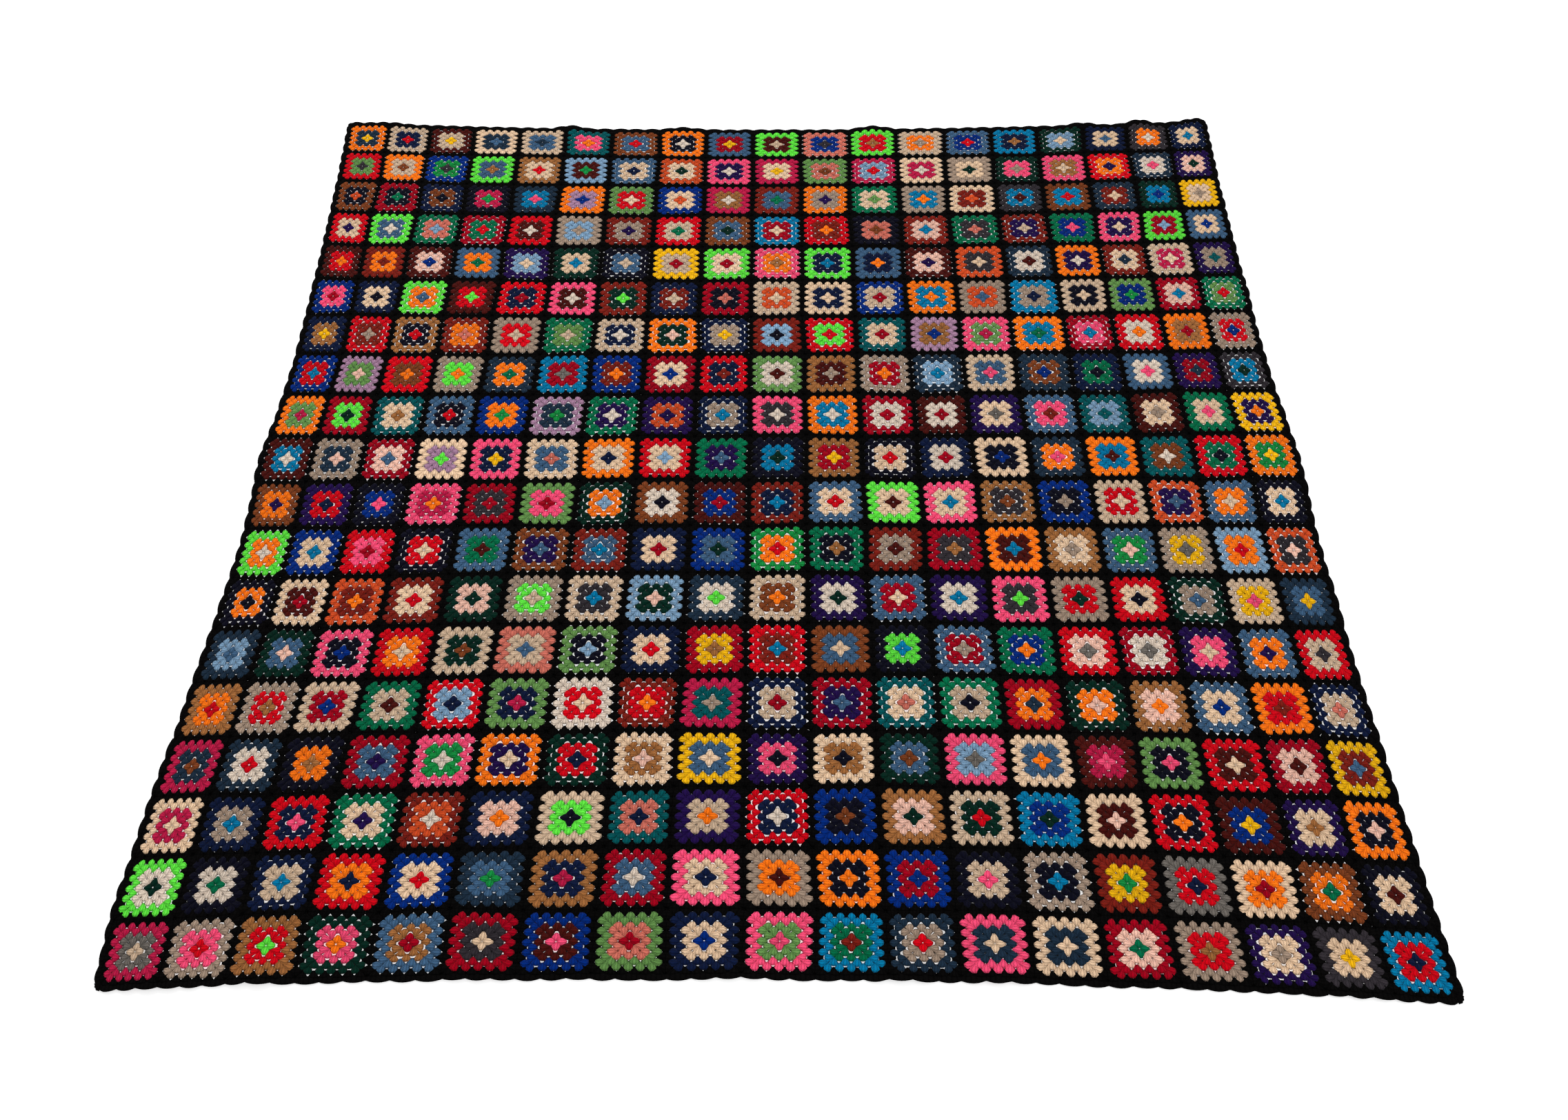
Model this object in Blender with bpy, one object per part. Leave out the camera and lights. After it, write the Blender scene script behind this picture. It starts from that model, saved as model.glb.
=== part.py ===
"""A granny square blanket, lying flat.

Crocheted squares, joined in rows, make one patchwork sheet. A black shell edging is
crocheted round it and is a piece of its own. Metres, +Z up. The underside rests at Z = 0,
and the near edge is at -Y. Shapes are drawn flat and square first, then lay() gives them
the pulled-out corners, bowed sides and small ripples of the blanket as it lies.
"""

import math

import bmesh
import bpy
from mathutils import Vector

# The patchwork
SQUARES = 19  # in a row, and rows in the blanket
PITCH = 0.1016  # one square, from seam to seam
HALF_FIELD = SQUARES * PITCH / 2
THICK = 0.0042  # two strands of yarn, one on the other
SEAM_DIP = 0.0013  # how far the joining seams sink below the squares
CROWN = 0.0007  # how far a square's middle stands above its last coloured round
BLACK_ROUND = 0.0100  # the width of the black round that joins a square to its neighbours

# The edging
GAP = 0.0004  # between the patchwork and the edging, before the sides are drawn in
EDGING = 0.0105  # its width at the top of a shell
SHELL_RISE = 0.0030  # from the dip between two shells to the top of a shell
SHELLS = 3  # for each square
SHELL_STEPS = 3  # straight pieces in a shell's outline
EDGE_THICK = 0.0030  # at the shells' outer edge
CORNER_STEPS = 4  # straight pieces round a corner's shell

# How the blanket lies. Its sides bow inwards between the corners and draw in the squares
# next to them, so the inner squares are a little wider.
HALF_SIZE = HALF_FIELD + GAP + EDGING
BOW = {"left": 0.032, "right": 0.021, "near": 0.026, "far": 0.031}
SPREAD_X = 0.021  # how far the inner columns are pushed out, at most
CORNER_SPREAD_X = {
    ("left", "near"): 0.035,
    ("right", "near"): 0.012,
    ("left", "far"): 0.020,
    ("right", "far"): 0.035,
}
SPREAD_Y = {"near": 0.0, "far": 0.020}
CORNER_SPREAD_Y = {"near": 0.035, "far": 0.025}
DRAW_X = 5  # how near the left and right sides the drawing-in stays
DRAW_Y = 3  # how near the other two sides it stays
MID_BULGE = 0.011  # the left and right sides come out again at the middle
MID_BULGE_WIDTH = 0.14  # of the half length
FLARE = 0.016  # the left side is pulled out between its middle and its near corner
SLANT = 0.007  # the middle rows rise a little to the right
NEAR_SLANT = 0.0125  # the near side's right corner is nearer than this side's middle

# Lifted ripples at the sides: where along the side and how wide, in squares counted from
# the left or near end, how high in metres, and how far in from the seam, in squares.
RIPPLES = [
    # side, along, half_width, height, reach
    ("near", 0.9, 1.1, 0.0050, 0.95),
    ("near", 2.4, 0.6, 0.0065, 0.90),
    ("near", 5.5, 0.8, 0.0030, 0.70),
    ("near", 8.9, 0.7, 0.0030, 0.70),
    ("near", 11.2, 0.6, 0.0065, 0.90),
    ("near", 12.5, 0.6, 0.0055, 0.90),
    ("near", 17.6, 0.9, 0.0040, 0.80),
    ("far", 1.0, 0.8, 0.0040, 0.80),
    ("far", 5.1, 0.5, 0.0080, 0.90),
    ("far", 7.5, 0.6, 0.0060, 0.85),
    ("far", 11.5, 0.6, 0.0090, 0.95),
    ("far", 16.0, 0.6, 0.0070, 0.90),
    ("far", 17.3, 0.5, 0.0100, 0.95),
    ("far", 18.7, 0.6, 0.0060, 0.80),
    ("left", 1.2, 0.9, 0.0050, 0.90),
    ("left", 9.6, 0.8, 0.0050, 0.85),
    ("right", 6.5, 0.8, 0.0045, 0.85),
    ("right", 13.4, 0.8, 0.0050, 0.85),
]

YARN_ROUGHNESS = 0.9
PATCHWORK_COLOUR = (0.33, 0.16, 0.12, 1.0)
BLACK_YARN_COLOUR = (0.012, 0.011, 0.012, 1.0)


def along_and_in(x, y, side):
    """Where a flat point is beside a side, in squares: along it, and in from its seam."""
    beside = {"near": (x, y), "right": (y, -x), "far": (x, -y), "left": (y, x)}
    along, inwards = beside[side]
    return (along + HALF_FIELD) / PITCH, (inwards + HALF_FIELD) / PITCH


def lift(x, y):
    """How far the cloth stands off the floor at a flat point."""
    height = 0.0
    for side, along, half_width, rise, reach in RIPPLES:
        here, inwards = along_and_in(x, y, side)
        across = (here - along) / half_width
        depth = max(0.0, inwards) / reach
        if abs(across) < 1 and depth < 1:
            height += rise * math.cos(across * math.pi / 2) ** 2 * (1 - depth) ** 2
    return height


def lay(flat):
    """Moves a point of the flat, square blanket to where it lies."""
    u, v = flat.x / HALF_SIZE, flat.y / HALF_SIZE
    side = "right" if u > 0 else "left"
    end = "far" if v > 0 else "near"
    between_corners = 1 - v * v
    spread_x = SPREAD_X + CORNER_SPREAD_X[side, end] * abs(v) ** 3
    spread_y = SPREAD_Y[end] + CORNER_SPREAD_Y[end] * u * u
    bow_x = BOW[side] * between_corners - MID_BULGE * math.exp(-((v / MID_BULGE_WIDTH) ** 2))
    bow_y = BOW[end] * (1 - u * u)
    flare = 4 * FLARE * v * v * between_corners if (side, end) == ("left", "near") else 0.0
    x = flat.x + (spread_x + flare) * u - (spread_x + bow_x) * u * abs(u) ** (DRAW_X - 1)
    y = flat.y + spread_y * v - (spread_y + bow_y) * v * abs(v) ** (DRAW_Y - 1)
    y += SLANT * u * between_corners - NEAR_SLANT * u * (1 - v) / 2
    return Vector((x, y, flat.z + lift(flat.x, flat.y)))


def turned(x, y, quarter_turns):
    """A point of the near side, moved round to another side."""
    for _ in range(quarter_turns):
        x, y = -y, x
    return x, y


def yarn_material(name, colour):
    material = bpy.data.materials.new(name)
    material.use_nodes = True
    shader = material.node_tree.nodes["Principled BSDF"]
    shader.inputs["Base Color"].default_value = colour
    shader.inputs["Roughness"].default_value = YARN_ROUGHNESS
    shader.inputs["Metallic"].default_value = 0.0
    return material


def finished(name, bm, material, middle):
    """Lays the flat shape, centres it on the origin and makes it an object."""
    for vert in bm.verts:
        vert.co = lay(vert.co) - middle
    bmesh.ops.recalc_face_normals(bm, faces=bm.faces)
    mesh = bpy.data.meshes.new(name)
    bm.to_mesh(mesh)
    bm.free()
    mesh.materials.append(material)
    obj = bpy.data.objects.new(name, mesh)
    bpy.context.scene.collection.objects.link(obj)
    return obj


def add_grid(bm):
    """A flat grid with two steps to a square. Returns its faces, by square."""
    steps = 2 * SQUARES
    made = bmesh.ops.create_grid(bm, x_segments=steps, y_segments=steps, size=HALF_FIELD)
    faces = {}
    for face in {f for vert in made["verts"] for f in vert.link_faces}:
        middle = face.calc_center_median()
        column = int((middle.x + HALF_FIELD) / PITCH)
        row = int((middle.y + HALF_FIELD) / PITCH)
        faces.setdefault((column, row), []).append(face)
    return faces


def raise_squares(bm, faces):
    """Raises each square's coloured rounds above the seams, with a crowned middle."""
    grid_verts = {vert for group in faces.values() for f in group for vert in f.verts}
    for vert in grid_verts:
        vert.co.z = THICK - SEAM_DIP
    for group in faces.values():
        bmesh.ops.inset_region(bm, faces=group, thickness=BLACK_ROUND, use_even_offset=True)
        inner = {vert for face in group for vert in face.verts}
        for vert in inner:
            vert.co.z = THICK
            if all(face in group for face in vert.link_faces):
                vert.co.z += CROWN


def flatten_underside(bm, faces):
    """Joins the faces that rest on the floor into one. The outer squares keep theirs."""
    resting = [
        face
        for (column, row), group in faces.items()
        if 0 < column < SQUARES - 1 and 0 < row < SQUARES - 1
        for face in group
    ]
    bmesh.ops.dissolve_faces(bm, faces=resting, use_verts=True)


def make_patchwork(middle):
    bm = bmesh.new()
    raise_squares(bm, add_grid(bm))
    flatten_underside(bm, add_grid(bm))
    rims = [edge for edge in bm.edges if edge.is_boundary]
    bmesh.ops.bridge_loops(bm, edges=rims)
    return finished("patchwork", bm, yarn_material("square_yarns", PATCHWORK_COLOUR), middle)


def inner_points(side_turns):
    """The edging's inner line along one side, from its first corner to before the next."""
    corner = HALF_FIELD + GAP
    points = [turned(-corner, -corner, side_turns)]
    for step in range(1, 2 * SQUARES):
        points.append(turned(-HALF_FIELD + step * PITCH / 2, -corner, side_turns))
    return points


def shell_points(side_turns):
    """The shells' outline along one side, from the first dip to the last."""
    points = []
    steps = SQUARES * SHELLS * SHELL_STEPS
    for step in range(steps + 1):
        width = EDGING - SHELL_RISE if step % SHELL_STEPS == 0 else EDGING
        x = -HALF_FIELD + step * 2 * HALF_FIELD / steps
        points.append(turned(x, -HALF_FIELD - GAP - width, side_turns))
    return points


def corner_points(side_turns):
    """The shell round the corner where a side ends, without its two dips."""
    points = []
    for step in range(1, CORNER_STEPS):
        angle = math.pi / 2 * step / CORNER_STEPS
        x = HALF_FIELD + GAP + EDGING * math.sin(angle)
        y = -HALF_FIELD - GAP - EDGING * math.cos(angle)
        points.append(turned(x, y, side_turns))
    return points


def make_edging(middle):
    bm = bmesh.new()
    inner_side, outer_side = 2 * SQUARES, SQUARES * SHELLS * SHELL_STEPS
    inner, outer = [], []
    for side_turns in range(4):
        inner += inner_points(side_turns)
        outer += shell_points(side_turns) + corner_points(side_turns)
    inner = [bm.verts.new((x, y, 0)) for x, y in inner]
    outer = [bm.verts.new((x, y, 0)) for x, y in outer]
    for side_turns in range(4):
        first_in = side_turns * inner_side
        first_out = side_turns * (outer_side + CORNER_STEPS)
        for square in range(SQUARES):
            inside = [inner[(first_in + 2 * square + k) % len(inner)] for k in range(3)]
            start = first_out + square * SHELLS * SHELL_STEPS
            outside = outer[start : start + SHELLS * SHELL_STEPS + 1]
            bm.faces.new(outside + inside[::-1])
        start = first_out + outer_side
        corner = [outer[(start + k) % len(outer)] for k in range(CORNER_STEPS + 1)]
        bm.faces.new(corner + [inner[(first_in + inner_side) % len(inner)]])
    shell_places = {tuple(vert.co) for vert in outer}
    raised = bmesh.ops.extrude_face_region(bm, geom=list(bm.faces), use_keep_orig=True)
    tops = [item for item in raised["geom"] if isinstance(item, bmesh.types.BMVert)]
    for vert in tops:
        vert.co.z = EDGE_THICK if tuple(vert.co) in shell_places else THICK - SEAM_DIP
    return finished("shell_edging", bm, yarn_material("black_yarn", BLACK_YARN_COLOUR), middle)


def laid_middle():
    """The middle of the blanket's outline once it lies, as a point on the floor."""
    outline = []
    for side_turns in range(4):
        for x, y in shell_points(side_turns) + corner_points(side_turns):
            outline.append(lay(Vector((x, y, 0))))
    xs = [point.x for point in outline]
    ys = [point.y for point in outline]
    return Vector(((min(xs) + max(xs)) / 2, (min(ys) + max(ys)) / 2, 0))


def main():
    for obj in list(bpy.data.objects):
        bpy.data.objects.remove(obj)
    middle = laid_middle()
    make_patchwork(middle)
    make_edging(middle)


main()
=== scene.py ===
"""Looks of the granny square blanket, in metres on the CAD frame, +Z up.

Every stitch cluster, three double crochets worked into one gap, is a small closed shape of
its own: narrow where it is worked in, wide and lobed at its top. Squares are built flat from
these clusters, round by round, and lay() then moves them to where the cloth lies.
"""

import math

import bpy
import numpy as np
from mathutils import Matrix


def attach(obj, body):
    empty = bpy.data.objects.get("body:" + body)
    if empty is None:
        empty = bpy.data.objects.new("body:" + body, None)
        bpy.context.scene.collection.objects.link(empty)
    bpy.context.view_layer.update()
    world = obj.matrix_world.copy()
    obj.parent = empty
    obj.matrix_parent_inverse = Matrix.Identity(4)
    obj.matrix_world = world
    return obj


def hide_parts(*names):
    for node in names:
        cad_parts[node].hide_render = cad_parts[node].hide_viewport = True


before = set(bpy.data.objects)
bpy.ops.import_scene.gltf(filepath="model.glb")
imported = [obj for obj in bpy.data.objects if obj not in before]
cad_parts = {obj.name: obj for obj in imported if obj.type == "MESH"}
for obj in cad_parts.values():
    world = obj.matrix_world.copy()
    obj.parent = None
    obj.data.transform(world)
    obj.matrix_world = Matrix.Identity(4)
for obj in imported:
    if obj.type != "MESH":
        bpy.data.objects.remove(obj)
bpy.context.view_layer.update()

MM = 0.001
SEED = 19

# The patchwork and its edging, the same sizes as the solids
SQUARES = 19
PITCH = 0.1016
HALF_FIELD = SQUARES * PITCH / 2
GAP = 0.0004
EDGING = 0.0105
SHELLS = 3  # for each square
HALF_SIZE = HALF_FIELD + GAP + EDGING

# How the blanket lies, the same values as in the solids
BOW = {"left": 0.032, "right": 0.021, "near": 0.026, "far": 0.031}
SPREAD_X = 0.021
CORNER_SPREAD_X = {
    ("left", "near"): 0.035,
    ("right", "near"): 0.012,
    ("left", "far"): 0.020,
    ("right", "far"): 0.035,
}
SPREAD_Y = {"near": 0.0, "far": 0.020}
CORNER_SPREAD_Y = {"near": 0.035, "far": 0.025}
DRAW_X = 5
DRAW_Y = 3
MID_BULGE = 0.011
MID_BULGE_WIDTH = 0.14
FLARE = 0.016
SLANT = 0.007
NEAR_SLANT = 0.0125
RIPPLES = [
    # side, along, half_width, height, reach
    ("near", 0.9, 1.1, 0.0050, 0.95),
    ("near", 2.4, 0.6, 0.0065, 0.90),
    ("near", 5.5, 0.8, 0.0030, 0.70),
    ("near", 8.9, 0.7, 0.0030, 0.70),
    ("near", 11.2, 0.6, 0.0065, 0.90),
    ("near", 12.5, 0.6, 0.0055, 0.90),
    ("near", 17.6, 0.9, 0.0040, 0.80),
    ("far", 1.0, 0.8, 0.0040, 0.80),
    ("far", 5.1, 0.5, 0.0080, 0.90),
    ("far", 7.5, 0.6, 0.0060, 0.85),
    ("far", 11.5, 0.6, 0.0090, 0.95),
    ("far", 16.0, 0.6, 0.0070, 0.90),
    ("far", 17.3, 0.5, 0.0100, 0.95),
    ("far", 18.7, 0.6, 0.0060, 0.80),
    ("left", 1.2, 0.9, 0.0050, 0.90),
    ("left", 9.6, 0.8, 0.0050, 0.85),
    ("right", 6.5, 0.8, 0.0045, 0.85),
    ("right", 13.4, 0.8, 0.0050, 0.85),
]
OUTLINE_POINTS = 400  # on each side, to find the middle of the laid outline
CORNER_ROUND = 24 * MM  # the radius of the blanket's corners

# One square. Distances are from its centre, along a side's normal, in millimetres. Each
# round has as many clusters on a side as its number. A cluster's sizes are given at four
# stations: its foot, its knee beside the tips of the round before, its belly and its tip.
FOOT, KNEE, BELLY, TIP = range(4)
STEP = 16.4  # from one cluster to the next
BLACK = 3  # the colour place of the round that joins the squares
PLACES = (0, 1, 1, 2, 2, BLACK)  # the rounds' colour places: centre, middle, outer, black
TIPS = (15.2, 22.7, 30.3, 38.4, 46.6, 51.3)
REACH, TIGHT_REACH = 4.4, 2.4  # of a foot in from the tips before it, and more where tight
CENTRE_REACH, BLACK_REACH = 2.0, 1.2  # more than that, in the second and the black round
CENTRE_FOOT, CENTRE_TIGHT_FOOT = 1.6, 1.1  # the first round's foot, and less where tight
KNEE_PAST, BLACK_KNEE_PAST = 0.3, 1.2  # from the tips before to the knee
CENTRE_KNEE = 6.2  # in the first round, from the square's centre
BELLY_IN, BLACK_BELLY_IN = 4.5, 1.8  # from tip to belly
HALVES = (2.3, 5.9, 7.8, 5.7)  # of the widths, at the four stations
CENTRE_HALVES = (3.4, 7.6, 5.6, 3.6)  # the same in the first round
SECOND_HALVES = (1.2, 6.3, 7.8, 5.7)  # in the second round
BLACK_HALVES = (1.9, 7.9, 8.7, 8.7)  # in the black round
DROP = 2.0  # how far a tip's ends are rounded off
CORNER_LEANS = (0, 0.8, 1.2, -0.4)  # how far a corner cluster's stations lean to its corner
BLACK_LEAN = 0.3  # the share of that in the black round
CREST = 4.3  # a cluster's greatest height
TOPS = (0.80, 1.00, 1.00, 0.80)  # heights along its middle, as shares of that
SIDE_FALL = 0.35  # the share that its top loses towards its sides
RIMS = (2.2, 2.8, 2.4, 1.8)  # heights of its sides
RISES = np.array([0.0, 0.45, 0.68, 1.0])  # how far up the cluster the stations are
POSTS, COLUMNS = 3, 5  # its stitches, and the points across its belly and tip

# How uneven the handwork is. A tight round has wide knees and so has small gaps.
TIGHT_LIMITS = (0.35, 1.1)
WHOLE_SHARE = 0.5  # the share of a round's tightness that is its whole square's
TIGHT_POWER = 0.7  # brings more rounds near the tight end
NEAR_TIGHT, NEAR_FADE = 0.20, 4  # how much tighter the nearest row is, and how fast that fades
FAR_TIGHT, FAR_FADE = 0.20, 1.5  # the same for the farthest row
MIDDLING = 0.5  # the tightness at which a cluster has the widths given above
TIGHT_KNEE = 4.2  # mm wider at the knee, to each side, for a tightness of 1 more
SECOND_TIGHT_KNEE = 0.25 * TIGHT_KNEE  # in the second round
TIGHT_BELLY = 0.2  # mm wider at the belly
TIP_SPREAD, BLACK_TIP_SPREAD = 0.4, 0.1  # mm, from cluster to cluster
KNEE_SPREAD, BELLY_SPREAD = 0.3, 0.15  # mm, of their half widths
PLACE_SPREAD = 0.2  # mm, along the round
TURN_SPREAD = math.radians(0.3)
CREST_SPREAD = 0.05  # as a share of the height
SPIN = math.radians(1.3)
WANDER = 1.5 * MM  # of the seams' crossings
RIM_WANDER = 0.4  # the share of that at the blanket's rim
CUP = 1.3 * MM  # how far a square's middle may stand up
DYE_SPREAD = 0.05
STITCH_SPREAD = 0.035

# The joining seams, in millimetres
SEAM_STEPS = 12  # in the length of one square
SEAM_STITCH = 4  # steps that look like one stitch
SEAM_LINES = [
    # offset, height, sway, wave
    (-1.5, 1.2, 0.25, 0.0),
    (0.0, 3.9, 0.50, 0.2),
    (1.5, 1.2, 0.25, 0.0),
]

# The edging's shells, in millimetres. Those at the four corners are longer and rounder.
SHELL_POSTS, SHELL_COLUMNS = 5, 7
SHELL_FOOT_IN, CORNER_FOOT_IN = 2.6, 5.0  # from the outer seam in to the foot
SHELL_KNEE_OUT = 1.5  # from the outer seam out to the knee
SHELL_BELLY_IN, CORNER_BELLY_IN = 3.6, 9.0  # from tip to belly
SHELL_SHORT = 0.8  # how much shorter a shell may be
CORNER_LONG = 3.5  # how much further a corner shell reaches
SHELL_PLACE_SPREAD = 0.8
SHELL_OVERLAP = 1.4  # over its neighbour's half
SHELL_TIP_IN = 1.6  # how much narrower the tip is, to each side
CORNER_SHELL_HALVES = (5.5, 9.0, 9.5, 7.5)
SHELL_DROP, CORNER_DROP = 3.6, 7.5  # how far the tip's ends are rounded off
SHELL_DROP_SPREAD = 0.5
SHELL_CREST = CREST - 0.5

# Yarns, as sRGB colours, with how often each is the outer, middle and centre colour
YARNS = [
    # name, red, green, blue, outer, middle, centre
    ("cream", 230, 196, 162, 4, 17, 13),
    ("ecru", 224, 206, 188, 1, 6, 7),
    ("shell_pink", 238, 188, 168, 1, 4, 5),
    ("oatmeal", 204, 176, 148, 7, 8, 5),
    ("taupe", 160, 138, 120, 6, 4, 3),
    ("camel", 158, 102, 56, 8, 3, 4),
    ("chestnut", 124, 62, 30, 3, 2, 3),
    ("oxblood", 124, 30, 20, 8, 3, 3),
    ("mahogany", 72, 16, 12, 5, 3, 4),
    ("scarlet", 210, 2, 22, 9, 7, 9),
    ("crimson", 160, 0, 26, 8, 6, 6),
    ("hot_pink", 248, 78, 120, 6, 4, 4),
    ("raspberry", 188, 26, 70, 2, 2, 2),
    ("mauve", 168, 128, 156, 1, 1, 1),
    ("terracotta", 212, 78, 36, 2, 2, 2),
    ("salmon", 206, 110, 94, 1, 2, 1),
    ("orange", 255, 120, 20, 8, 8, 6),
    ("golden", 244, 184, 16, 3, 3, 3),
    ("lime", 96, 228, 66, 5, 5, 3),
    ("sage", 100, 144, 76, 2, 2, 1),
    ("kelly_green", 20, 140, 64, 1, 2, 2),
    ("emerald", 0, 108, 70, 5, 3, 4),
    ("teal", 0, 84, 88, 2, 1, 1),
    ("bottle_green", 2, 40, 30, 5, 4, 4),
    ("cerulean", 0, 118, 164, 4, 3, 5),
    ("powder_blue", 126, 160, 190, 1, 3, 2),
    ("denim", 62, 94, 126, 7, 6, 5),
    ("storm", 28, 46, 64, 5, 3, 3),
    ("royal", 0, 42, 124, 8, 5, 6),
    ("navy", 12, 24, 56, 5, 8, 5),
    ("midnight", 11, 11, 27, 5, 10, 5),
    ("indigo", 32, 12, 70, 7, 5, 5),
    ("charcoal", 50, 45, 50, 1, 4, 2),
    ("pewter", 108, 102, 96, 1, 2, 2),
]
BLACK_YARN = (9, 8, 8)
LEAST_CONTRAST = 0.30  # between the colours of two neighbouring rounds

# The yarn's finish. Shades are shares of its colour; the grooves between posts and the clusters'
# feet get painted shade.
YARN_ROUGHNESS = 0.9
SHEEN_ROUGHNESS = 0.5
LEAST_SHADE = 0.30
# the first is painted shade in the grooves between posts, how much lighter a post's top is than
# a groove; the others are the yarn's own uneven tone
PAINTED_GROOVE_SHADE, TWIST_SHADE, FUZZ_SHADE, PATCH_SHADE = 0.46, 0.10, 0.40, 0.20  # added to that
POST_ROUNDNESS = 0.6
TWIST_ACROSS, TWIST_RISE = 7.0, 30.0  # how fast the plies turn, in both directions
FUZZ_SCALE, FUZZ_DETAIL = 1300.0, 3.0
PATCH_SCALE, PATCH_DETAIL = 160.0, 2.0
# painted shade at a cluster's foot, where it lies under the tips of the round before
FOOT_PAINTED_SHADE, FOOT_FADE = 0.55, 1.6  # at a cluster's foot, and how fast it gets lighter
TWIST_HEIGHT, FUZZ_HEIGHT = 0.25, 0.4  # beside the posts'
BUMP_STRENGTH, BUMP_DISTANCE = 0.8, 1.2 * MM

# The map to bake the looks through: one cell for each cluster, and lanes for seams.
# Places in a cell or lane are shares of its size.
CELLS_ACROSS, CELLS_UP = 40, 40
CELLS_TOP = 0.94  # the share of the map's height that the cells take
EDGING_CELLS_ACROSS, EDGING_CELLS_UP = 8, 29
CELL_HALF = 0.46  # of a cluster's greatest width there
CELL_WIDTHS = np.array([0.45, 0.80, 1.0, 0.7])  # at the four stations, as shares of that
CELL_DROP = 0.12  # how far a tip's ends are rounded off there
TOP_FROM, TOP_HEIGHT = 0.31, 0.66  # the part of the cell for a cluster's top
UNDER_FROM, UNDER_HEIGHT = 0.03, 0.22  # and for its underside
LANES_ACROSS, LANES_UP = 10, 4
LANE_FROM, LANE_LENGTH = 0.02, 0.96
LANE_MARGIN, LANE_WIDTH = 0.1, 0.8

# The room
FLOOR_HALF = 150.0  # so far that its end shows in the lowest views only
FLOOR_COLOUR = (0.70, 0.70, 0.70, 1.0)
FLOOR_ROUGHNESS = 0.9
FLOOR_GLOW = 0.55  # keeps the floor pale under the blanket's gaps
WHITE = (1, 1, 1, 1)
ROOM_GLOW = 0.62
LIGHTS = [
    # name, place, size, power; all are aimed at the blanket's middle
    ("softbox", (-1.6, 2.6, 3.4), 1.6, 95),
    ("fill", (2.4, -1.2, 3.0), 2.0, 30),
]
CAMERA_PLACE = (0.007, -1.4554, 1.838)  # from the middle of the flat blanket
CAMERA_DOWN = 56.20  # degrees below the horizon
CAMERA_RIGHT = 0.205  # degrees
LENS = 29.056  # mm
SENSOR = 36.0  # mm wide
VIEW_END = 500.0


def beside(x, y, side):
    """Flat points beside a side, in squares: along it, and in from its seam."""
    along, inwards = {"near": (x, y), "right": (y, -x), "far": (x, -y), "left": (y, x)}[side]
    return (along + HALF_FIELD) / PITCH, (inwards + HALF_FIELD) / PITCH


def lift(x, y):
    """How far the cloth stands off the floor at flat points."""
    height = np.zeros_like(x)
    for side, along, half_width, rise, reach in RIPPLES:
        here, inwards = beside(x, y, side)
        across = np.clip((here - along) / half_width, -1, 1)
        depth = np.clip(inwards / reach, 0, 1)
        height += rise * np.cos(across * math.pi / 2) ** 2 * (1 - depth) ** 2
    return height


def spread_out(points):
    """Gives flat points, an array of x, y, z rows, the corners, sides and ripples of the
    blanket as it lies, still about the flat blanket's middle."""
    flat_x, flat_y, flat_z = points.T
    u, v = flat_x / HALF_SIZE, flat_y / HALF_SIZE
    right, far = u > 0, v > 0
    between_corners = 1 - v * v
    corner = np.where(
        far,
        np.where(right, CORNER_SPREAD_X["right", "far"], CORNER_SPREAD_X["left", "far"]),
        np.where(right, CORNER_SPREAD_X["right", "near"], CORNER_SPREAD_X["left", "near"]),
    )
    spread_x = SPREAD_X + corner * np.abs(v) ** 3
    spread_y = np.where(
        far,
        SPREAD_Y["far"] + CORNER_SPREAD_Y["far"] * u * u,
        SPREAD_Y["near"] + CORNER_SPREAD_Y["near"] * u * u,
    )
    bulge = MID_BULGE * np.exp(-((v / MID_BULGE_WIDTH) ** 2))
    bow_x = np.where(right, BOW["right"], BOW["left"]) * between_corners - bulge
    bow_y = np.where(far, BOW["far"], BOW["near"]) * (1 - u * u)
    flare = np.where(right | far, 0, 4 * FLARE * v * v * between_corners)
    x = flat_x + (spread_x + flare) * u - (spread_x + bow_x) * u * np.abs(u) ** (DRAW_X - 1)
    y = flat_y + spread_y * v - (spread_y + bow_y) * v * np.abs(v) ** (DRAW_Y - 1)
    y += SLANT * u * between_corners - NEAR_SLANT * u * (1 - v) / 2
    return np.stack([x, y, flat_z + lift(flat_x, flat_y)], axis=1)


def outline_middle():
    """The middle of the laid outline, which is the frame's origin."""
    along = np.linspace(-HALF_SIZE, HALF_SIZE, OUTLINE_POINTS)
    side = np.full_like(along, HALF_SIZE)
    xs = np.concatenate([along, along, side, -side])
    ys = np.concatenate([side, -side, along, along])
    outline = spread_out(np.column_stack([xs, ys, np.zeros_like(xs)]))[:, :2]
    return np.append((outline.min(axis=0) + outline.max(axis=0)) / 2, 0)


MIDDLE = outline_middle()


def round_corners(points):
    """Draws flat x, y points near the blanket's four corners in, so that those are round."""
    start = HALF_SIZE - CORNER_ROUND
    past = np.abs(points) - start
    square = past.max(axis=1)
    shrink = np.where(past.min(axis=1) > 0, square / np.maximum(np.hypot(*past.T), MM), 1)
    return np.where(past > 0, np.sign(points) * (start + past * shrink[:, None]), points)


def lay(flat, hand):
    """Takes flat points, an array of x, y, z rows, to where they lie in the blanket."""
    moved = flat[:, :2] + hand.wander(flat[:, 0], flat[:, 1])
    return spread_out(np.column_stack([round_corners(moved), flat[:, 2]])) - MIDDLE


def linear(colour):
    """An sRGB colour of 0 to 255 as linear light."""
    c = np.asarray(colour, float) / 255
    return np.where(c <= 0.04045, c / 12.92, ((c + 0.055) / 1.055) ** 2.4)


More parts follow.
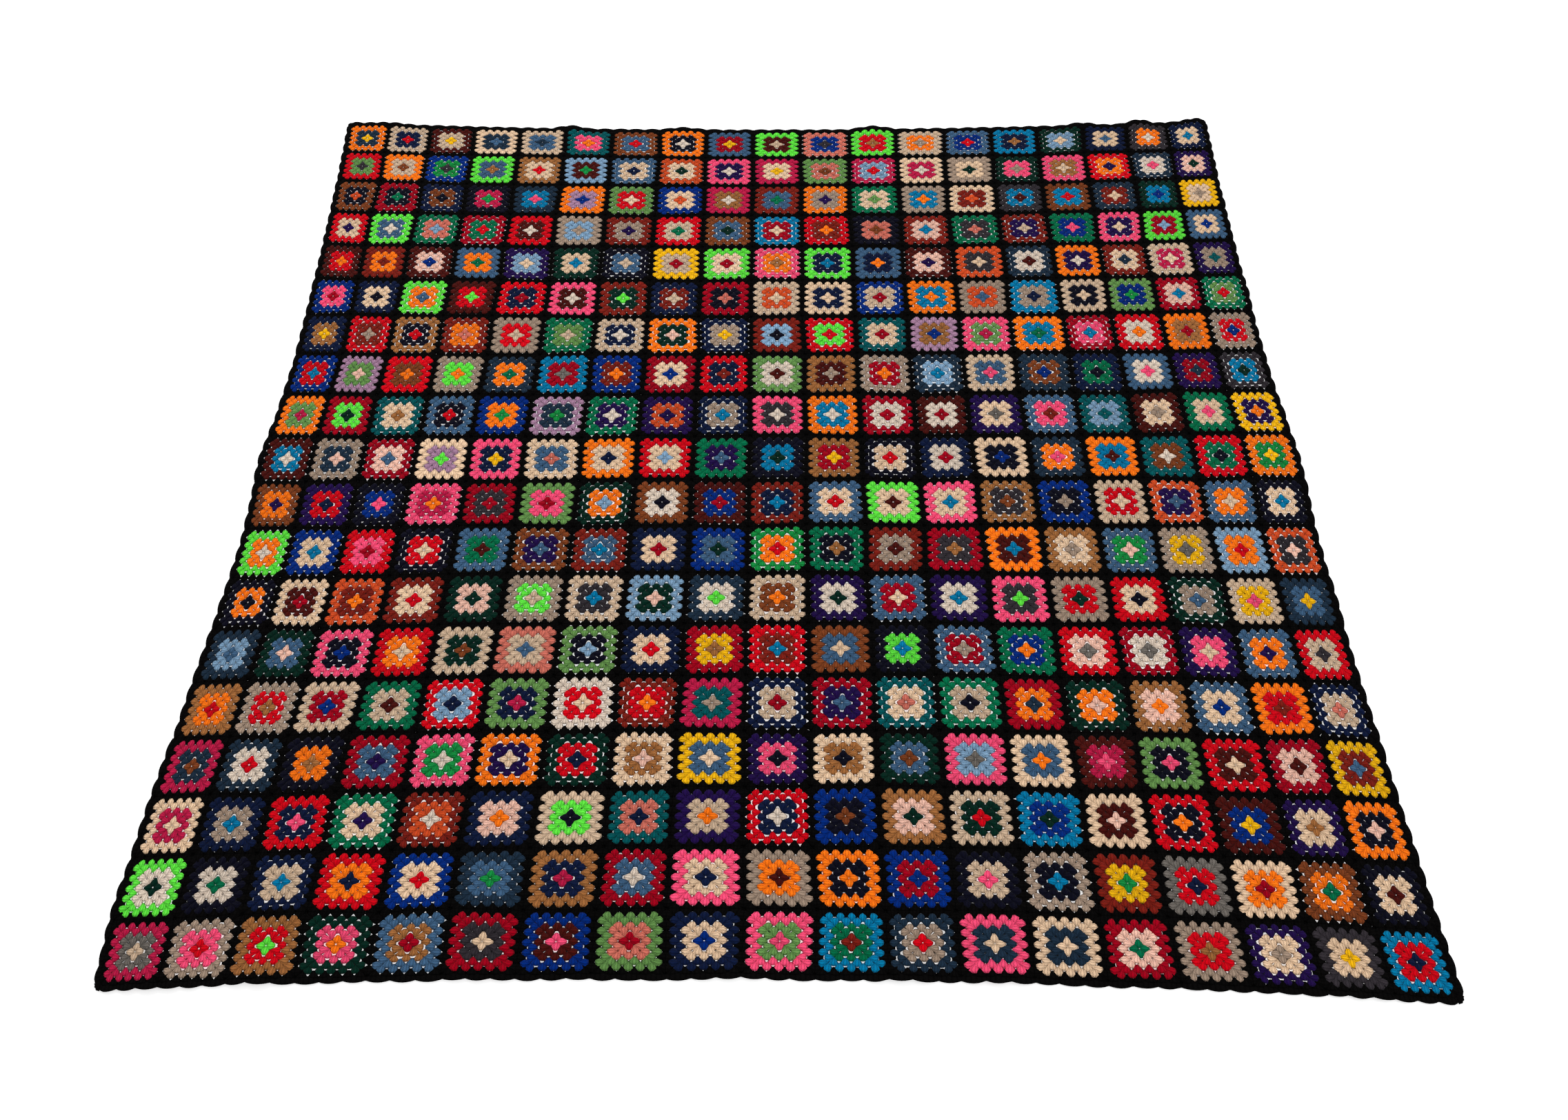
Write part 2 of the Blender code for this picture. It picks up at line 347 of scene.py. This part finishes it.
class Template:
    """A cluster's faces: three points at its foot and knee, and more at its belly and tip.

    across runs from -1 to 1 over a cluster's width, and station from FOOT to TIP.
    """

    def __init__(self, posts, columns):
        row = np.linspace(-1, 1, columns)
        few = np.linspace(-1, 1, 3)
        self.posts = posts
        self.across = np.concatenate([few, few, row, row])
        self.station = np.repeat([FOOT, KNEE, BELLY, TIP], [3, 3, columns, columns])
        foot, knee, belly, tip = 0, 3, 6, 6 + columns  # the first point of each
        middle = belly + columns // 2
        tops = [[foot + i, knee + i, knee + i + 1, foot + i + 1] for i in range(2)]
        tops += [[knee, i, i + 1] for i in range(belly, middle - 1)]
        tops += [[knee + i, middle - 1 + i, middle + i, knee + 1 + i] for i in range(2)]
        tops += [[knee + 2, i, i + 1] for i in range(middle + 1, tip - 1)]
        tops += [[belly + i, tip + i, tip + i + 1, belly + i + 1] for i in range(columns - 1)]
        one_side = [foot, knee, belly]
        other_side = [tip - 1, knee + 2, foot + 2, foot + 1]
        underside = one_side + list(range(tip, tip + columns)) + other_side
        self.faces = [face[::-1] for face in tops] + [underside]
        self.size = len(self.across)


def shape_clusters(c, template):
    """Flat x, y and z of each cluster's points, in millimetres about its square's centre.

    c holds the clusters' measures. Its out, half and middle have a value for each station.
    """
    across, station = template.across, template.station
    x = c["half"][:, station] * across + c["middle"][:, station]
    d = c["out"][:, station] - c["drop"][:, None] * across**2 * (station == TIP)
    top = np.array(TOPS)[station] * (1 - SIDE_FALL * across**2)
    z = np.where(np.abs(across) < 1, c["crest"][:, None] * top, np.array(RIMS)[station])
    turn_cos = np.cos(c["angle"])[:, None]
    turn_sin = np.sin(c["angle"])[:, None]
    return np.stack([x * turn_cos - d * turn_sin, x * turn_sin + d * turn_cos, z], axis=2)


def stitch_marks(template, count, rng):
    """For each point: its place across the posts, its rise from foot to tip, and a number
    that is the same all over a cluster."""
    across = np.tile(template.across * template.posts / 2, (count, 1))
    rise = np.tile(RISES[template.station], (count, 1))
    own = np.tile(rng.random((count, 1)), (1, template.size))
    return np.stack([across, rise, own], axis=2)


def cell_map(template, count, across, up, top):
    """Map places for the corners of the clusters' faces: the top and the underside of each
    cluster have their own part of its cell."""
    width = CELL_WIDTHS[template.station]
    flat_u = 0.5 + CELL_HALF * template.across * width
    flat_v = RISES[template.station] - CELL_DROP * (template.station == TIP) * template.across**2
    u, v = [], []
    for face in template.faces[:-1]:
        u.extend(flat_u[face])
        v.extend(TOP_FROM + TOP_HEIGHT * flat_v[face])
    under = template.faces[-1]
    u.extend(flat_u[under])
    v.extend(UNDER_FROM + UNDER_HEIGHT * flat_v[under])
    cell = np.arange(count)
    cell_u = (cell % across)[:, None] + np.array(u)
    cell_v = (cell // across)[:, None] + np.array(v)
    return np.stack([cell_u / across, cell_v / up * top], axis=2).reshape(-1, 2)


class Patch:
    """Gathers shapes that become one mesh."""

    def __init__(self):
        self.points, self.colours, self.marks = [], [], []
        self.corners, self.sizes, self.slots, self.places = [], [], [], []
        self.count = 0

    def add(self, points, colours, marks, faces, slots, places):
        """Adds alike shapes: points is an array of shapes by points by x, y, z, slots has a
        material number for each shape, and places a map place for each corner of a face."""
        shapes, size = points.shape[:2]
        corners = np.concatenate([np.array(face) for face in faces])
        starts = self.count + size * np.arange(shapes)
        self.points.append(points.reshape(-1, 3))
        self.colours.append(colours.reshape(-1, 3))
        self.marks.append(marks.reshape(-1, 3))
        self.corners.append((starts[:, None] + corners).ravel())
        self.sizes.append(np.tile([len(face) for face in faces], shapes))
        self.slots.append(np.repeat(slots, len(faces)))
        self.places.append(places)
        self.count += shapes * size

    def finished(self, name, materials):
        """Makes the mesh and its object."""
        mesh = bpy.data.meshes.new(name)
        corners = np.concatenate(self.corners)
        sizes = np.concatenate(self.sizes)
        mesh.vertices.add(self.count)
        mesh.vertices.foreach_set("co", np.concatenate(self.points).ravel())
        mesh.loops.add(len(corners))
        mesh.loops.foreach_set("vertex_index", corners)
        mesh.polygons.add(len(sizes))
        mesh.polygons.foreach_set("loop_start", np.cumsum(sizes) - sizes)
        mesh.polygons.foreach_set("material_index", np.concatenate(self.slots))
        mesh.polygons.foreach_set("use_smooth", sizes <= 4)  # all but the undersides
        mesh.update(calc_edges=True)
        mesh.validate()
        yarn = mesh.attributes.new("yarn", "FLOAT_COLOR", "POINT")
        opaque = np.ones((self.count, 1))
        yarn.data.foreach_set("color", np.hstack([np.concatenate(self.colours), opaque]).ravel())
        stitch = mesh.attributes.new("stitch", "FLOAT_VECTOR", "POINT")
        stitch.data.foreach_set("vector", np.concatenate(self.marks).ravel())
        bake_map = mesh.uv_layers.new(name="OFBake")
        bake_map.data.foreach_set("uv", np.concatenate(self.places).ravel())
        for material in materials:
            mesh.materials.append(material)
        obj = bpy.data.objects.new(name, mesh)
        bpy.context.scene.collection.objects.link(obj)
        return obj


class Handwork:
    """The chance side of the blanket: its colours, and how evenly it was made and lies."""

    def __init__(self):
        self.rng = np.random.default_rng(SEED)
        shape = (SQUARES, SQUARES)
        self.spin = self.rng.normal(0, SPIN, shape)
        self.tight = self.choose_tightness(shape)
        self.cup = CUP * self.rng.random(shape)
        self.dye = self.rng.normal(1, DYE_SPREAD, (*shape, BLACK))
        self.crossings = self.rng.normal(0, WANDER, (SQUARES + 1, SQUARES + 1, 2))
        self.crossings[[0, -1], :] *= RIM_WANDER
        self.crossings[:, [0, -1]] *= RIM_WANDER
        self.colours = self.choose_colours()

    def choose_tightness(self, shape):
        """How tight each colour place of each square is. A share of it is its whole square's."""
        own = self.rng.random((*shape, BLACK + 1))
        whole = self.rng.random(shape)[..., None]
        tight = (WHOLE_SHARE * whole + (1 - WHOLE_SHARE) * own) ** TIGHT_POWER
        farness = np.linspace(0, 1, SQUARES)[:, None, None]
        tight = tight + NEAR_TIGHT * (1 - farness) ** NEAR_FADE + FAR_TIGHT * farness**FAR_FADE
        return np.clip(tight, *TIGHT_LIMITS)

    def choose_colours(self):
        """A yarn number for each square's centre, middle and outer rounds."""
        rgb = np.array([yarn[1:4] for yarn in YARNS]) / 255
        weights = np.array([yarn[4:7] for yarn in YARNS], float).T
        apart = np.linalg.norm(rgb[:, None] - rgb[None], axis=2)
        chosen = np.zeros((SQUARES, SQUARES, 3), int)
        for row in range(SQUARES):
            for column in range(SQUARES):
                barred = [chosen[row, column - 1, 0]] if column else []
                barred += [chosen[row - 1, column, 0]] if row else []
                outer = self.pick(weights[0], barred)
                middle = self.pick(weights[1] * (apart[outer] > LEAST_CONTRAST), [])
                centre = self.pick(weights[2] * (apart[middle] > LEAST_CONTRAST), [])
                chosen[row, column] = outer, middle, centre
        return chosen[..., ::-1]

    def pick(self, weights, barred):
        """A yarn number by chance, and none of the barred ones."""
        weights = weights.copy()
        weights[barred] = 0
        return self.rng.choice(len(weights), p=weights / weights.sum())

    def wander(self, x, y):
        """How far the seams' wandering moves flat points."""
        across = np.clip((x + HALF_FIELD) / PITCH, 0, SQUARES - 1e-6)
        up = np.clip((y + HALF_FIELD) / PITCH, 0, SQUARES - 1e-6)
        i, j = across.astype(int), up.astype(int)
        s, t = (across - i)[:, None], (up - j)[:, None]
        near = self.crossings[j, i] * (1 - s) + self.crossings[j, i + 1] * s
        far = self.crossings[j + 1, i] * (1 - s) + self.crossings[j + 1, i + 1] * s
        return near * (1 - t) + far * t


def row_clusters(row, hand):
    """The measures of the clusters in all of a row's squares."""
    rounds = range(1, len(TIPS) + 1)
    number = np.concatenate([np.full(4 * n, n) for n in rounds])
    angle = np.concatenate([np.repeat(np.arange(4) * math.pi / 2, n) for n in rounds])
    turn = np.concatenate([np.tile(np.arange(n) - (n - 1) / 2, 4) for n in rounds])
    column = np.repeat(np.arange(SQUARES), len(number))
    number, angle, turn = (np.tile(values, SQUARES) for values in (number, angle, turn))
    place = np.array(PLACES)[number - 1]
    tight = hand.tight[row, column, place]
    uneven = hand.rng.normal(0, 1, (6, len(number)))
    centre, second, joins = number == 1, number == 2, place == BLACK

    tip_spread = np.where(joins, BLACK_TIP_SPREAD, TIP_SPREAD)
    tip = np.array(TIPS)[number - 1] + tip_spread * uneven[0]
    before = np.array((0,) + TIPS)[number - 1]
    foot = before - REACH - TIGHT_REACH * tight - CENTRE_REACH * second - BLACK_REACH * joins
    foot = np.where(centre, CENTRE_FOOT - CENTRE_TIGHT_FOOT * tight, foot)
    knee = before + np.where(joins, BLACK_KNEE_PAST, KNEE_PAST)
    knee = np.where(centre, CENTRE_KNEE, knee)
    belly = np.where(joins, tip - BLACK_BELLY_IN, tip - BELLY_IN)
    out = np.stack([foot, knee, belly, tip], axis=1)

    half = np.where(centre[:, None], CENTRE_HALVES, HALVES)
    half = np.where(second[:, None], SECOND_HALVES, half)
    half = np.where(joins[:, None], BLACK_HALVES, half)
    tight_knee = np.where(second, SECOND_TIGHT_KNEE, TIGHT_KNEE)
    wider_knee = tight_knee * (tight - MIDDLING) + KNEE_SPREAD * uneven[1]
    half[:, KNEE] += np.where(centre, 0, wider_knee)
    half[:, BELLY] += TIGHT_BELLY * (tight - MIDDLING) + BELLY_SPREAD * uneven[2]

    along = turn * STEP + PLACE_SPREAD * uneven[3]
    corner = np.sign(turn) * ((np.abs(turn) == (number - 1) / 2) & ~centre)
    start = np.where(corner == 0, along, corner * foot)
    part = (knee - foot) / (belly - foot)
    middle = np.stack([start, start + (along - start) * part, along, along], axis=1)
    middle += np.outer(corner * np.where(joins, BLACK_LEAN, 1), CORNER_LEANS)
    return {
        "column": column,
        "place": place,
        "angle": angle + TURN_SPREAD * uneven[4],
        "out": out,
        "half": half,
        "middle": middle,
        "drop": np.where(joins, 0, DROP),
        "crest": CREST * (1 + CREST_SPREAD * uneven[5]),
    }


def settle(local, row, column, hand):
    """Takes points in millimetres about their squares' centres to where they lie. A square
    turns about its middle, while its sides stay at the seams."""
    x, y, z = (local * MM).reshape(-1, 3).T
    column = np.repeat(column, local.shape[1])
    out = np.maximum(np.abs(x), np.abs(y)) / (PITCH / 2)
    inner = np.clip(1 - out**4, 0, 1)
    spin = hand.spin[row, column] * inner
    x, y = x * np.cos(spin) - y * np.sin(spin), x * np.sin(spin) + y * np.cos(spin)
    x = x + (column + 0.5) * PITCH - HALF_FIELD
    y = y + (row + 0.5) * PITCH - HALF_FIELD
    z = z + hand.cup[row, column] * np.clip(1 - out**2, 0, 1)
    return lay(np.stack([x, y, z], axis=1), hand).reshape(local.shape)


def cluster_colours(c, row, hand):
    """Each cluster's colour: its yarn, dyed a little unevenly from square to square."""
    palette = np.array([linear(yarn[1:4]) for yarn in YARNS] + [linear(BLACK_YARN)])
    place = np.minimum(c["place"], BLACK - 1)
    number = np.where(c["place"] == BLACK, len(YARNS), hand.colours[row, c["column"], place])
    shade = hand.dye[row, c["column"], place]
    shade = shade * hand.rng.normal(1, STITCH_SPREAD, len(number))
    return palette[number] * shade[:, None]


def add_clusters(patch, row, hand):
    """Adds all the clusters of a row's squares."""
    template = Template(POSTS, COLUMNS)
    c = row_clusters(row, hand)
    count = len(c["place"])
    points = settle(shape_clusters(c, template), row, c["column"], hand)
    colours = cluster_colours(c, row, hand)
    colours = np.repeat(colours[:, None], template.size, axis=1)
    marks = stitch_marks(template, count, hand.rng)
    slots = (c["place"] == BLACK).astype(int)
    places = cell_map(template, count, CELLS_ACROSS, CELLS_UP, CELLS_TOP)
    patch.add(points, colours, marks, template.faces, slots, places)


def seam_points(starts, ends, hand):
    """The three lines of points of seams between flat ends, as shapes by points by x, y, z."""
    count = len(starts)
    t = np.linspace(0, 1, SEAM_STEPS + 1)
    line = starts[:, None] + (ends - starts)[:, None] * t[None, :, None]
    way = (ends - starts) / np.linalg.norm(ends - starts, axis=1)[:, None]
    aside = np.stack([-way[:, 1], way[:, 0]], axis=1)[:, None, :]
    twist = np.where(np.arange(SEAM_STEPS + 1) % 2, 1.0, -1.0)
    points = np.zeros((count, SEAM_STEPS + 1, 3, 3))
    for k, (offset, height, sway, wave) in enumerate(SEAM_LINES):
        sideways = offset + sway * twist
        points[:, :, k, :2] = line + aside * (sideways * MM)[None, :, None]
        points[:, :, k, 2] = (height + wave * twist) * MM
    return lay(points.reshape(-1, 3), hand).reshape(count, -1, 3)


def seam_faces():
    """A seam's faces, and the map places along and across it for their corners."""
    t = np.linspace(0, 1, SEAM_STEPS + 1)
    faces, u, v = [[0, 1, 2]], [0, 0, 0], [0, 0.33, 0.66]
    for step in range(SEAM_STEPS):
        for k in range(3):
            a, b = 3 * step + k, 3 * step + (k + 1) % 3
            faces.append([a, a + 3, b + 3, b])
            u += [t[step], t[step + 1], t[step + 1], t[step]]
            v += [k / 3, k / 3, (k + 1) / 3, (k + 1) / 3]
    last = 3 * SEAM_STEPS
    faces.append([last + 2, last + 1, last])
    u += [1, 1, 1]
    v += [0.66, 0.33, 0]
    return faces, np.array(u), np.array(v)


def add_seams(patch, starts, ends, hand):
    """Adds joining seams, each a low twisted ridge between two flat points, in metres."""
    points = seam_points(starts, ends, hand)
    count, size = points.shape[:2]
    faces, u, v = seam_faces()
    t = np.linspace(0, 1, SEAM_STEPS + 1)
    colours = np.tile(linear(BLACK_YARN), (count, size, 1))
    marks = np.zeros((count, size, 3))
    marks[:, :, 0] = np.tile([-0.5, 0, 0.5], SEAM_STEPS + 1)
    marks[:, :, 1] = np.repeat(t * SEAM_STEPS / SEAM_STITCH, 3)
    lane = np.arange(count)
    place_u = ((lane % LANES_ACROSS)[:, None] + LANE_FROM + LANE_LENGTH * u) / LANES_ACROSS
    lane_v = (lane // LANES_ACROSS)[:, None] + LANE_MARGIN + LANE_WIDTH * v
    place_v = CELLS_TOP + lane_v / LANES_UP * (1 - CELLS_TOP)
    places = np.stack([place_u, place_v], axis=2).reshape(-1, 2)
    patch.add(points, colours, marks, faces, np.ones(count, int), places)


def row_seams(row):
    """The flat ends of the seams inside a row and of those on its far side."""
    left, near = -HALF_FIELD, -HALF_FIELD + row * PITCH
    starts, ends = [], []
    for column in range(1, SQUARES):
        starts.append((left + column * PITCH, near))
        ends.append((left + column * PITCH, near + PITCH))
    if row < SQUARES - 1:
        for column in range(SQUARES):
            starts.append((left + column * PITCH, near + PITCH))
            ends.append((left + (column + 1) * PITCH, near + PITCH))
    return np.array(starts), np.array(ends)


def make_row(row, hand, materials):
    patch = Patch()
    add_clusters(patch, row, hand)
    add_seams(patch, *row_seams(row), hand)
    return patch.finished(f"squares_row_{row + 1:02d}", materials)


def shell_clusters(hand):
    """The measures of the edging's shells: side by side round the blanket, with one more at
    the end of each side for its corner."""
    shell = PITCH / MM / SHELLS
    half_field = HALF_FIELD / MM
    side = (np.arange(SQUARES * SHELLS) + 0.5) * shell - half_field
    along = np.append(side, 0)
    at_corner = np.arange(len(along)) == len(along) - 1
    count = 4 * len(along)
    uneven = hand.rng.normal(0, 1, (3, count))
    along, at_corner = np.tile(along, 4), np.tile(at_corner, 4)
    base = np.where(at_corner, math.sqrt(2) * half_field, half_field)
    foot = base - np.where(at_corner, CORNER_FOOT_IN, SHELL_FOOT_IN)
    further = np.where(at_corner, CORNER_LONG, -SHELL_SHORT * np.abs(uneven[0]))
    tip = base + (GAP + EDGING) / MM + further
    belly = tip - np.where(at_corner, CORNER_BELLY_IN, SHELL_BELLY_IN)
    along = along + SHELL_PLACE_SPREAD * uneven[1]
    wide = shell / 2 + SHELL_OVERLAP
    side_halves = (wide, wide, wide, wide - SHELL_TIP_IN)
    side_drop = SHELL_DROP + SHELL_DROP_SPREAD * uneven[1]
    return {
        "angle": np.repeat(np.arange(4) * math.pi / 2, count // 4) + at_corner * math.pi / 4,
        "out": np.stack([foot, base + SHELL_KNEE_OUT, belly, tip], axis=1),
        "half": np.where(at_corner[:, None], CORNER_SHELL_HALVES, side_halves),
        "middle": np.stack([along] * 4, axis=1),
        "drop": np.where(at_corner, CORNER_DROP, side_drop),
        "crest": SHELL_CREST * (1 + CREST_SPREAD * uneven[2]),
    }


def make_edging(hand, material):
    """The shells round the blanket: five posts each, worked into its outer seam."""
    template = Template(SHELL_POSTS, SHELL_COLUMNS)
    c = shell_clusters(hand)
    count = len(c["angle"])
    flat = (shape_clusters(c, template) * MM).reshape(-1, 3)
    points = lay(flat, hand).reshape(-1, template.size, 3)
    colours = np.tile(linear(BLACK_YARN), (count, template.size, 1))
    marks = stitch_marks(template, count, hand.rng)
    places = cell_map(template, count, EDGING_CELLS_ACROSS, EDGING_CELLS_UP, 1)
    patch = Patch()
    patch.add(points, colours, marks, template.faces, np.zeros(count, int), places)
    return patch.finished("edging_shells", [material])


def link_math(tree, operation, *values):
    """A math node with the given numbers and sockets as its inputs. Returns its output."""
    node = tree.nodes.new("ShaderNodeMath")
    node.operation = operation
    for socket, value in zip(node.inputs, values):
        if isinstance(value, (int, float)):
            socket.default_value = value
        else:
            tree.links.new(value, socket)
    return node.outputs[0]


def noise(tree, coordinates, scale, detail):
    node = tree.nodes.new("ShaderNodeTexNoise")
    node.inputs["Scale"].default_value = scale
    node.inputs["Detail"].default_value = detail
    tree.links.new(coordinates, node.inputs["Vector"])
    return node.outputs["Fac"]


def read_attribute(tree, name):
    node = tree.nodes.new("ShaderNodeAttribute")
    node.attribute_name = name
    return node


def yarn_material(name, sheen, gloss):
    """Crocheted yarn: posts with painted shade in the grooves between them and at the clusters'
    feet, twisted plies and fuzz.
    """
    material = bpy.data.materials.new(name)
    material.use_nodes = True
    tree = material.node_tree
    shader = tree.nodes["Principled BSDF"]
    shader.inputs["Roughness"].default_value = YARN_ROUGHNESS
    shader.inputs["Sheen Weight"].default_value = sheen
    shader.inputs["Sheen Roughness"].default_value = SHEEN_ROUGHNESS
    shader.inputs["Specular IOR Level"].default_value = gloss

    colour = read_attribute(tree, "yarn")
    marks = read_attribute(tree, "stitch")
    parts = tree.nodes.new("ShaderNodeSeparateXYZ")
    tree.links.new(marks.outputs["Vector"], parts.inputs[0])
    across, rise = parts.outputs[0], parts.outputs[1]
    place = tree.nodes.new("ShaderNodeTexCoord").outputs["Object"]

    # posts is 1 on a post's top and 0 in the grooves between posts; it sets both the bump and
    # the painted shade in the grooves
    turn = link_math(tree, "MULTIPLY", across, math.pi)
    posts = link_math(tree, "ABSOLUTE", link_math(tree, "COSINE", turn))
    posts = link_math(tree, "POWER", posts, POST_ROUNDNESS)
    twist = link_math(tree, "MULTIPLY", across, TWIST_ACROSS)
    twist = link_math(tree, "SINE", link_math(tree, "MULTIPLY_ADD", rise, TWIST_RISE, twist))
    twist = link_math(tree, "MULTIPLY_ADD", twist, 0.5, 0.5)
    fuzz = noise(tree, place, FUZZ_SCALE, FUZZ_DETAIL)
    patchy = noise(tree, place, PATCH_SCALE, PATCH_DETAIL)

    # painted shade: the grooves between posts are darker; the twist, fuzz and patches add the
    # yarn's own uneven tone
    shade = link_math(tree, "MULTIPLY_ADD", posts, PAINTED_GROOVE_SHADE, LEAST_SHADE)
    shade = link_math(tree, "MULTIPLY_ADD", twist, TWIST_SHADE, shade)
    shade = link_math(tree, "MULTIPLY_ADD", fuzz, FUZZ_SHADE, shade)
    shade = link_math(tree, "MULTIPLY_ADD", patchy, PATCH_SHADE, shade)
    # painted shade at the cluster's foot, fading to none further up the cluster
    foot = link_math(tree, "MULTIPLY_ADD", rise, FOOT_FADE, FOOT_PAINTED_SHADE)
    shade = link_math(tree, "MULTIPLY", shade, link_math(tree, "MINIMUM", foot, 1.0))
    tint = tree.nodes.new("ShaderNodeVectorMath")
    tint.operation = "SCALE"
    tree.links.new(colour.outputs["Color"], tint.inputs[0])
    tree.links.new(shade, tint.inputs["Scale"])
    tree.links.new(tint.outputs[0], shader.inputs["Base Color"])

    height = link_math(tree, "MULTIPLY_ADD", twist, TWIST_HEIGHT, posts)
    height = link_math(tree, "MULTIPLY_ADD", fuzz, FUZZ_HEIGHT, height)
    bump = tree.nodes.new("ShaderNodeBump")
    bump.inputs["Strength"].default_value = BUMP_STRENGTH
    bump.inputs["Distance"].default_value = BUMP_DISTANCE
    tree.links.new(height, bump.inputs["Height"])
    tree.links.new(bump.outputs[0], shader.inputs["Normal"])
    return material


def make_blanket():
    """Makes the rows of squares and the edging, and ties them to the frame."""
    hand = Handwork()
    squares = yarn_material("square_yarns", sheen=0.02, gloss=0.04)
    black = yarn_material("black_yarn", sheen=0.0, gloss=0.02)
    rows = [make_row(row, hand, [squares, black]) for row in range(SQUARES)]
    edging = make_edging(hand, black)
    for piece in rows:
        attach(piece, "root")
        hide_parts("patchwork")
    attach(edging, "root")
    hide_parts("shell_edging")


def make_floor():
    mesh = bpy.data.meshes.new("floor")
    f = FLOOR_HALF
    mesh.from_pydata([(-f, -f, 0), (f, -f, 0), (f, f, 0), (-f, f, 0)], [], [(0, 1, 2, 3)])
    floor = bpy.data.objects.new("floor", mesh)
    bpy.context.scene.collection.objects.link(floor)
    material = bpy.data.materials.new("floor")
    material.use_nodes = True
    shader = material.node_tree.nodes["Principled BSDF"]
    shader.inputs["Base Color"].default_value = FLOOR_COLOUR
    shader.inputs["Roughness"].default_value = FLOOR_ROUGHNESS
    shader.inputs["Emission Color"].default_value = WHITE
    shader.inputs["Emission Strength"].default_value = FLOOR_GLOW
    mesh.materials.append(material)


def add_light(name, place, size, power):
    """Adds a square light that is aimed at the blanket's middle."""
    light = bpy.data.lights.new(name, "AREA")
    light.shape = "SQUARE"
    light.size = size
    light.energy = power
    lamp = bpy.data.objects.new(name, light)
    bpy.context.scene.collection.objects.link(lamp)
    lamp.location = place
    x, y, z = place
    lamp.rotation_euler = (math.atan2(math.hypot(x, y), z), 0, math.atan2(x, -y))


def make_lights():
    world = bpy.data.worlds.new("studio")
    world.use_nodes = True
    background = world.node_tree.nodes["Background"]
    background.inputs["Color"].default_value = WHITE
    background.inputs["Strength"].default_value = ROOM_GLOW
    bpy.context.scene.world = world
    for light in LIGHTS:
        add_light(*light)


def make_camera():
    camera = bpy.data.cameras.new("camera")
    camera.lens = LENS
    camera.sensor_width = SENSOR
    camera.sensor_fit = "HORIZONTAL"
    camera.clip_end = VIEW_END
    holder = bpy.data.objects.new("camera", camera)
    bpy.context.scene.collection.objects.link(holder)
    holder.location = np.array(CAMERA_PLACE) - MIDDLE
    holder.rotation_euler = (math.radians(90 - CAMERA_DOWN), 0, math.radians(-CAMERA_RIGHT))
    bpy.context.scene.camera = holder


bpy.context.scene.view_settings.view_transform = "Standard"
make_camera()
make_blanket()
make_floor()
make_lights()
